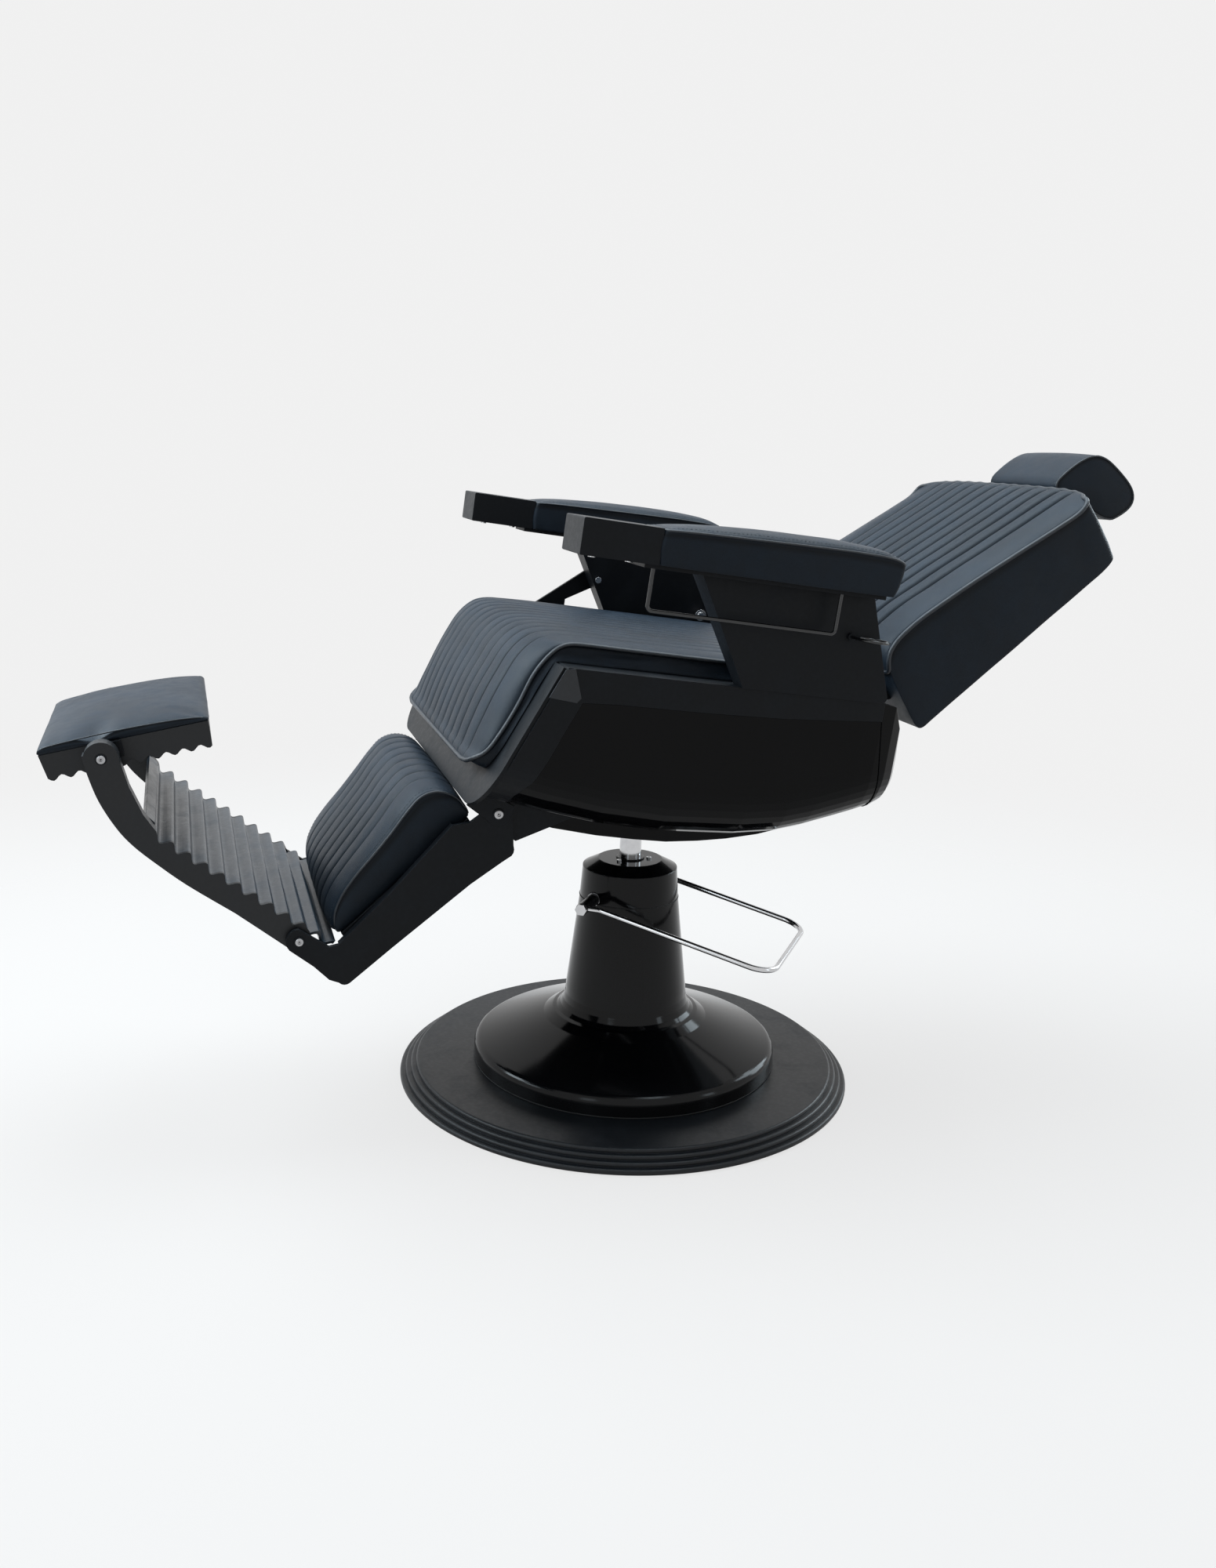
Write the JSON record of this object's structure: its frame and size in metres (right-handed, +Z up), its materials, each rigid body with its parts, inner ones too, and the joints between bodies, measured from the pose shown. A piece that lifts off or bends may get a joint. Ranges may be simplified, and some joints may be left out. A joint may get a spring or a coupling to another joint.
{
  "type": "hydraulic barber chair",
  "caption": "Hydraulic barber chair with a channelled seat, a reclining back with a headrest, armrests, a linked leg rest and a ribbed footrest with a fold-over pad.",
  "frame": {"origin": "Centre of the underside of the floor sole, on the axis of the column and the swivel.", "axes": "+Z up along the column, the sitter faces -Y, +X is the sitter's left, the side of the towel bar and the tool ring."},
  "size_m": [0.7, 1.4964, 0.9158],
  "materials": {
    "rubber_sole": "matt moulded rubber",
    "powder_coat": "satin black powder coat on steel",
    "gloss_enamel": "high-gloss black enamel on steel",
    "cast_footrest": "cast, satin black powder coat",
    "black_vinyl": "black upholstery vinyl with a fine grain",
    "chrome_steel": "polished chrome plate",
    "bare_steel": "turned and lightly oiled steel",
    "sleeve_plastic": "black moulded plastic",
    "birch_ply": "raw birch plywood"
  },
  "bodies": {
    "base": {"floor_sole": "rubber_sole", "floor_plate": "powder_coat", "column_bell": "gloss_enamel", "column_cap": "gloss_enamel", "pump_cylinder": "bare_steel", "piston_gland": "bare_steel", "cap_screws": "chrome_steel", "lever_bearings": "bare_steel"},
    "pump_lever": {"pump_lever": "chrome_steel", "lever_sleeves": "sleeve_plastic"},
    "piston": {"piston_rod": "chrome_steel"},
    "seat": {"swivel_socket": "bare_steel", "mechanism_plate_left": "powder_coat", "mechanism_plate_right": "powder_coat", "cross_plate": "powder_coat", "bottom_pan": "gloss_enamel", "seat_shell": "gloss_enamel", "rear_cap": "gloss_enamel", "seat_frame": "powder_coat", "front_flange": "powder_coat", "corner_clips": "powder_coat", "seat_board": "birch_ply", "seat_cushion": "black_vinyl", "leg_pivot_bolts": "chrome_steel", "arm_panel_left": "powder_coat", "arm_panel_right": "powder_coat", "arm_plates": "powder_coat", "arm_block_left": "powder_coat", "arm_block_right": "powder_coat", "arm_pad_left": "black_vinyl", "arm_pad_right": "black_vinyl", "arm_screws": "chrome_steel", "towel_bar": "powder_coat", "ring_boss": "powder_coat", "tool_ring": "powder_coat", "recline_pivot": "chrome_steel", "hinge_pins": "chrome_steel"},
    "recline_lever": {"recline_lever": "powder_coat"},
    "back": {"back_cushion": "black_vinyl", "back_shell": "black_vinyl", "back_board": "birch_ply", "hinge_arms": "powder_coat", "headrest_guide": "bare_steel"},
    "headrest_stem": {"headrest_stem": "bare_steel"},
    "headrest": {"headrest_bracket": "powder_coat", "headrest_cushion": "black_vinyl"},
    "leg_rest": {"calf_plate_left": "powder_coat", "calf_plate_right": "powder_coat", "calf_board": "powder_coat", "calf_cushion": "black_vinyl", "foot_hinge_bolts": "chrome_steel"},
    "footrest": {"foot_tread": "cast_footrest", "foot_arm_left": "cast_footrest", "foot_arm_right": "cast_footrest"},
    "foot_pad": {"pad_tray": "cast_footrest", "pad_brackets": "powder_coat", "foot_pad": "black_vinyl", "flip_bolts": "chrome_steel"}
  },
  "joints": [
    {"name": "seat_height", "type": "slide", "parent": "base", "child": "piston", "axis": [0, 0, 1], "range_m": [0, 0.15]},
    {"name": "swivel", "type": "hinge", "parent": "piston", "child": "seat", "pos_m": [0, 0, 0.4], "axis": [0, 0, 1], "continuous": true},
    {"name": "back_recline", "type": "hinge", "parent": "seat", "child": "back", "pos_m": [0, 0.2424, 0.61002], "axis": [1, 0, 0], "range_deg": [0, 50]},
    {"name": "leg_rest_swing", "type": "hinge", "parent": "seat", "child": "leg_rest", "pos_m": [0, -0.23997, 0.45596], "axis": [1, 0, 0], "range_deg": [0, 50]},
    {"name": "footrest_fold", "type": "hinge", "parent": "leg_rest", "child": "footrest", "pos_m": [0, -0.48617, 0.30272], "axis": [1, 0, 0], "range_deg": [-30, 0]},
    {"name": "foot_pad_flip", "type": "hinge", "parent": "footrest", "child": "foot_pad", "pos_m": [0, -0.7056, 0.53742], "axis": [1, 0, 0], "range_deg": [0, 131]},
    {"name": "headrest_slide", "type": "slide", "parent": "back", "child": "headrest_stem", "axis": [0, 0.8434, 0.5373], "range_m": [0, 0.08]},
    {"name": "headrest_tilt", "type": "hinge", "parent": "headrest_stem", "child": "headrest", "pos_m": [0, 0.62418, 0.82652], "axis": [1, 0, 0], "range_deg": [-40, 8]},
    {"name": "pump_lever_stroke", "type": "hinge", "parent": "base", "child": "pump_lever", "pos_m": [-0.01822, -0.02508, 0.279], "axis": [0.809, -0.5878, 0], "range_deg": [-22, 0], "stiffness_Nm_per_rad": 8, "springref_deg": 20.05},
    {"name": "recline_lever_pull", "type": "hinge", "parent": "seat", "child": "recline_lever", "pos_m": [-0.304, 0.0156, 0.70104], "axis": [1, 0, 0], "range_deg": [-20, 0], "stiffness_Nm_per_rad": 2, "springref_deg": 11.46}
  ],
  "couplings": [
    {"joint": "leg_rest_swing", "follows": "back_recline", "ratio": 1}
  ]
}
